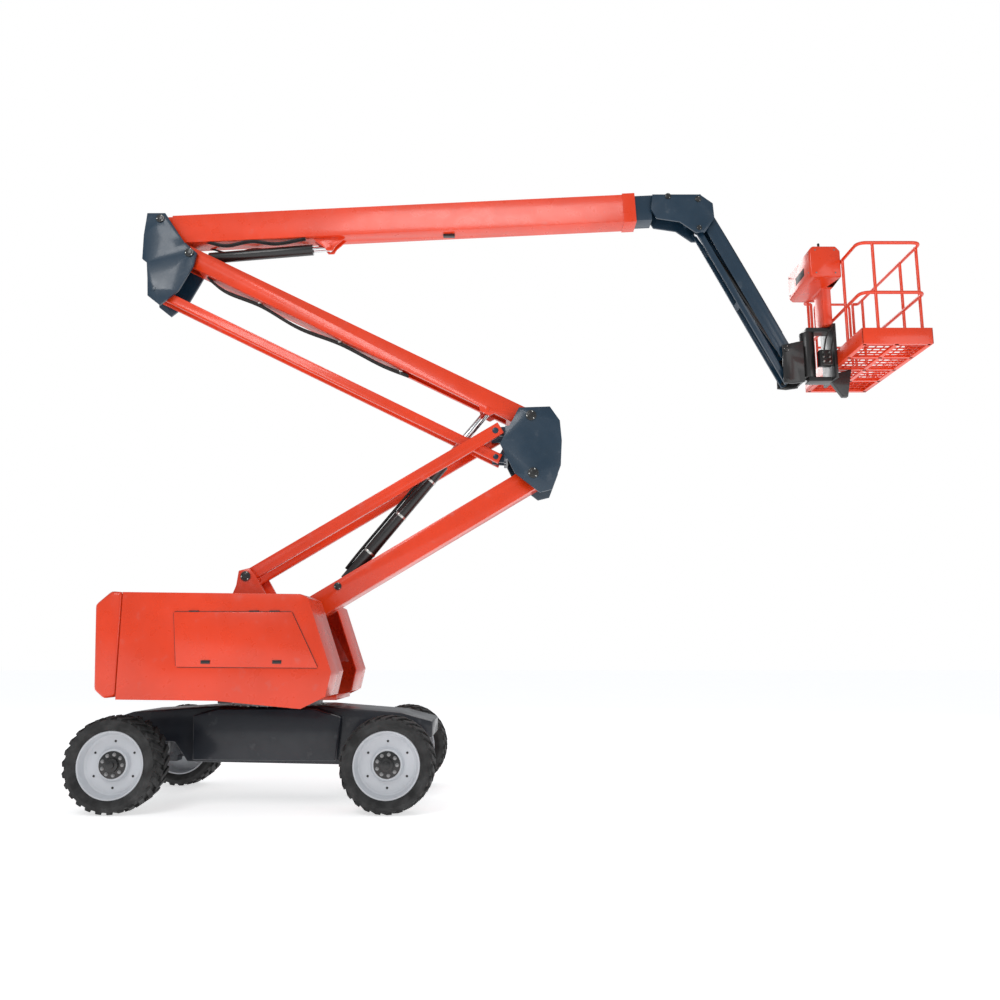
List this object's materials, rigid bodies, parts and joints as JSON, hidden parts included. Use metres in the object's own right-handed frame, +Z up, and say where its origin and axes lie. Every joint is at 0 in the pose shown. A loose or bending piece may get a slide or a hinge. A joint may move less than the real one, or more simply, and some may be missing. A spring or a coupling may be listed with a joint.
{
  "type": "articulating boom lift",
  "caption": "Self-propelled articulating boom lift with folding lift arms, telescopic boom, jib and a railed work platform on a slewing turntable and four tyred wheels.",
  "frame": {"origin": "On the ground, under the middle of the machine's box.", "axes": "+X points to the work platform, +Y to the far side, +Z up."},
  "size_m": [8.9303, 2.4, 7.0312],
  "materials": {
    "orange_paint": "orange-red gloss paint, slightly worn",
    "blue_paint": "dark blue-green semi-gloss paint",
    "chassis_paint": "near-black blue-grey paint",
    "black_paint": "black satin paint",
    "chrome": "hard chrome",
    "rubber": "black rubber",
    "rim_paint": "pale grey paint",
    "pin_steel": "greased steel",
    "dark_plastic": "black plastic"
  },
  "bodies": {
    "chassis": {"steer_axle": "chassis_paint", "drive_axle": "chassis_paint", "chassis": "chassis_paint", "slew_ring": "pin_steel", "drive_hub_near": "chassis_paint", "drive_hub_far": "chassis_paint"},
    "steer_wheel_near": {"steer_tyre_near": "rubber", "steer_rim_near": "rim_paint"},
    "steer_wheel_far": {"steer_tyre_far": "rubber", "steer_rim_far": "rim_paint"},
    "drive_wheel_near": {"drive_tyre_near": "rubber", "drive_rim_near": "rim_paint"},
    "drive_wheel_far": {"drive_tyre_far": "rubber", "drive_rim_far": "rim_paint"},
    "steer_near": {"steer_knuckle_near": "chassis_paint"},
    "steer_far": {"steer_knuckle_far": "chassis_paint"},
    "turntable": {"turntable_deck": "orange_paint", "counterweight": "orange_paint", "hood_near": "orange_paint", "side_tray_near": "chassis_paint", "hood_far": "orange_paint", "side_tray_far": "chassis_paint", "engine_block": "black_paint", "hydraulic_tank": "black_paint", "ground_controls": "dark_plastic"},
    "door_near": {"hood_door_near": "orange_paint"},
    "door_far": {"hood_door_far": "orange_paint"},
    "lower_arm": {"lower_arm": "orange_paint"},
    "tension_link": {"tension_link_near": "orange_paint", "tension_link_far": "orange_paint"},
    "mid_knuckle": {"mid_knuckle": "blue_paint"},
    "upper_arm": {"upper_arm": "orange_paint"},
    "upper_link": {"upper_link": "orange_paint"},
    "upper_knuckle": {"upper_knuckle": "blue_paint"},
    "riser_barrel": {"riser_barrel": "black_paint"},
    "riser_rod": {"riser_rod": "chrome"},
    "boom": {"boom": "orange_paint"},
    "fly_boom": {"fly_boom": "blue_paint"},
    "boom_barrel": {"boom_barrel": "black_paint"},
    "boom_rod": {"boom_rod": "chrome"},
    "jib_mount": {"jib_mount": "blue_paint"},
    "jib": {"jib": "blue_paint"},
    "jib_link": {"jib_link": "blue_paint"},
    "jib_barrel": {"jib_barrel": "black_paint"},
    "jib_rod": {"jib_rod": "chrome"},
    "platform_mount": {"platform_mount": "black_paint"},
    "platform": {"platform_floor": "orange_paint", "platform_rails": "orange_paint", "control_box": "orange_paint", "platform_bracket": "black_paint"},
    "gate": {"platform_gate": "orange_paint"}
  },
  "joints": [
    {"name": "turntable_slew", "type": "hinge", "parent": "chassis", "child": "turntable", "pos_m": [-2.66, 0, 1.05], "axis": [0, 0, 1], "continuous": true},
    {"name": "steer_near", "type": "hinge", "parent": "chassis", "child": "steer_near", "pos_m": [-4, -0.69, 0.465], "axis": [0, 0, 1], "range_deg": [-30, 30]},
    {"name": "steer_far", "type": "hinge", "parent": "chassis", "child": "steer_far", "pos_m": [-4, 0.69, 0.465], "axis": [0, 0, 1], "range_deg": [-30, 30]},
    {"name": "steer_wheel_near_spin", "type": "hinge", "parent": "steer_near", "child": "steer_wheel_near", "pos_m": [-4, -0.98, 0.465], "axis": [0, 1, 0], "continuous": true},
    {"name": "drive_wheel_near_spin", "type": "hinge", "parent": "chassis", "child": "drive_wheel_near", "pos_m": [-1.32, -0.98, 0.465], "axis": [0, 1, 0], "continuous": true},
    {"name": "hood_door_near_hinge", "type": "hinge", "parent": "turntable", "child": "door_near", "pos_m": [-2.9, -1.15, 1.945], "axis": [-1, 0, 0], "range_deg": [0, 80]},
    {"name": "steer_wheel_far_spin", "type": "hinge", "parent": "steer_far", "child": "steer_wheel_far", "pos_m": [-4, 0.98, 0.465], "axis": [0, 1, 0], "continuous": true},
    {"name": "drive_wheel_far_spin", "type": "hinge", "parent": "chassis", "child": "drive_wheel_far", "pos_m": [-1.32, 0.98, 0.465], "axis": [0, 1, 0], "continuous": true},
    {"name": "hood_door_far_hinge", "type": "hinge", "parent": "turntable", "child": "door_far", "pos_m": [-2.9, 1.15, 1.945], "axis": [1, 0, 0], "range_deg": [0, 80]},
    {"name": "lower_arm_lift", "type": "hinge", "parent": "turntable", "child": "lower_arm", "pos_m": [-2.588, 0, 1.874], "axis": [0, -1, 0], "range_deg": [-31.2, 35]},
    {"name": "tension_link_swing", "type": "hinge", "parent": "turntable", "child": "tension_link", "pos_m": [-3.015, 0, 2.376], "axis": [0, -1, 0], "range_deg": [-31.21, 35.01]},
    {"name": "mid_knuckle_level", "type": "hinge", "parent": "lower_arm", "child": "mid_knuckle", "pos_m": [0.15799, 0, 3.53834], "axis": [0, -1, 0], "range_deg": [-35.01, 31.21]},
    {"name": "upper_arm_lift", "type": "hinge", "parent": "mid_knuckle", "child": "upper_arm", "pos_m": [0.13599, 0, 4.20534], "axis": [0, 1, 0], "range_deg": [-26.5, 29.73]},
    {"name": "upper_link_swing", "type": "hinge", "parent": "mid_knuckle", "child": "upper_link", "pos_m": [-0.26401, 0, 3.75534], "axis": [0, 1, 0], "range_deg": [-26.5, 29.73]},
    {"name": "upper_knuckle_level", "type": "hinge", "parent": "upper_arm", "child": "upper_knuckle", "pos_m": [-3.89354, 0, 6.21528], "axis": [0, 1, 0], "range_deg": [-29.73, 26.5]},
    {"name": "riser_barrel_swing", "type": "hinge", "parent": "lower_arm", "child": "riser_barrel", "pos_m": [-2.024, 0, 2.276], "axis": [0, -1, 0], "range_deg": [-2.11, 1.88]},
    {"name": "riser_rod_slide", "type": "slide", "parent": "riser_barrel", "child": "riser_rod", "axis": [0.6299, 0, 0.7766], "range_m": [-0.7089, 0.7951]},
    {"name": "boom_lift", "type": "hinge", "parent": "upper_knuckle", "child": "boom", "pos_m": [-4.26454, 0, 6.64828], "axis": [0, -1, 0], "range_deg": [-2.9, 72]},
    {"name": "boom_barrel_swing", "type": "hinge", "parent": "upper_knuckle", "child": "boom_barrel", "pos_m": [-3.79954, 0, 6.23028], "axis": [0, -1, 0], "range_deg": [-3, 74.28]},
    {"name": "boom_rod_slide", "type": "slide", "parent": "boom_barrel", "child": "boom_rod", "axis": [0.9962, 0, 0.0876], "range_m": [-0.0305, 0.7324]},
    {"name": "boom_extend", "type": "slide", "parent": "boom", "child": "fly_boom", "axis": [0.9987, 0, 0.0506], "range_m": [0, 3.6]},
    {"name": "jib_mount_level", "type": "hinge", "parent": "fly_boom", "child": "jib_mount", "pos_m": [1.80604, 0, 6.96821], "axis": [0, -1, 0], "range_deg": [-72.01, 2.91]},
    {"name": "jib_lift", "type": "hinge", "parent": "jib_mount", "child": "jib", "pos_m": [2.16804, 0, 6.93021], "axis": [0, -1, 0], "range_deg": [-5, 130]},
    {"name": "jib_link_swing", "type": "hinge", "parent": "jib_mount", "child": "jib_link", "pos_m": [2.16804, 0, 6.56021], "axis": [0, -1, 0], "range_deg": [-5.01, 130.01]},
    {"name": "jib_barrel_swing", "type": "hinge", "parent": "jib", "child": "jib_barrel", "pos_m": [3.12831, 0, 5.04802], "axis": [0, -1, 0], "range_deg": [-2.1, 0.2]},
    {"name": "jib_rod_slide", "type": "slide", "parent": "jib_barrel", "child": "jib_rod", "axis": [-0.5361, 0, 0.8442], "range_m": [-0.0267, 0.6681]},
    {"name": "platform_level", "type": "hinge", "parent": "jib", "child": "platform_mount", "pos_m": [3.12831, 0, 5.04802], "axis": [0, -1, 0], "range_deg": [-130.01, 5.01]},
    {"name": "platform_rotate", "type": "hinge", "parent": "platform_mount", "child": "platform", "pos_m": [3.42031, 0, 5.04802], "axis": [0, 0, 1], "range_deg": [-90, 90]},
    {"name": "platform_gate_hinge", "type": "hinge", "parent": "platform", "child": "gate", "pos_m": [3.86331, 0.881, 5.53302], "axis": [0, 0, -1], "range_deg": [0, 90]}
  ],
  "couplings": [
    {"joint": "steer_far", "follows": "steer_near", "ratio": 1},
    {"joint": "tension_link_swing", "follows": "lower_arm_lift", "ratio": 1},
    {"joint": "mid_knuckle_level", "follows": "lower_arm_lift", "ratio": -1},
    {"joint": "upper_arm_lift", "follows": "lower_arm_lift", "ratio": 0.849},
    {"joint": "upper_link_swing", "follows": "lower_arm_lift", "ratio": 0.849},
    {"joint": "upper_knuckle_level", "follows": "lower_arm_lift", "ratio": -0.849},
    {"joint": "riser_barrel_swing", "follows": "lower_arm_lift", "ratio": -0.06},
    {"joint": "riser_rod_slide", "follows": "lower_arm_lift", "m_per_rad": 1.3},
    {"joint": "boom_barrel_swing", "follows": "boom_lift", "ratio": 1.0315},
    {"joint": "boom_rod_slide", "follows": "boom_lift", "m_per_rad": 0.582},
    {"joint": "jib_mount_level", "follows": "boom_lift", "ratio": -1},
    {"joint": "jib_link_swing", "follows": "jib_lift", "ratio": 1},
    {"joint": "jib_barrel_swing", "follows": "jib_lift", "ratio": -0.0154},
    {"joint": "jib_rod_slide", "follows": "jib_lift", "m_per_rad": 0.294},
    {"joint": "platform_level", "follows": "jib_lift", "ratio": -1}
  ]
}
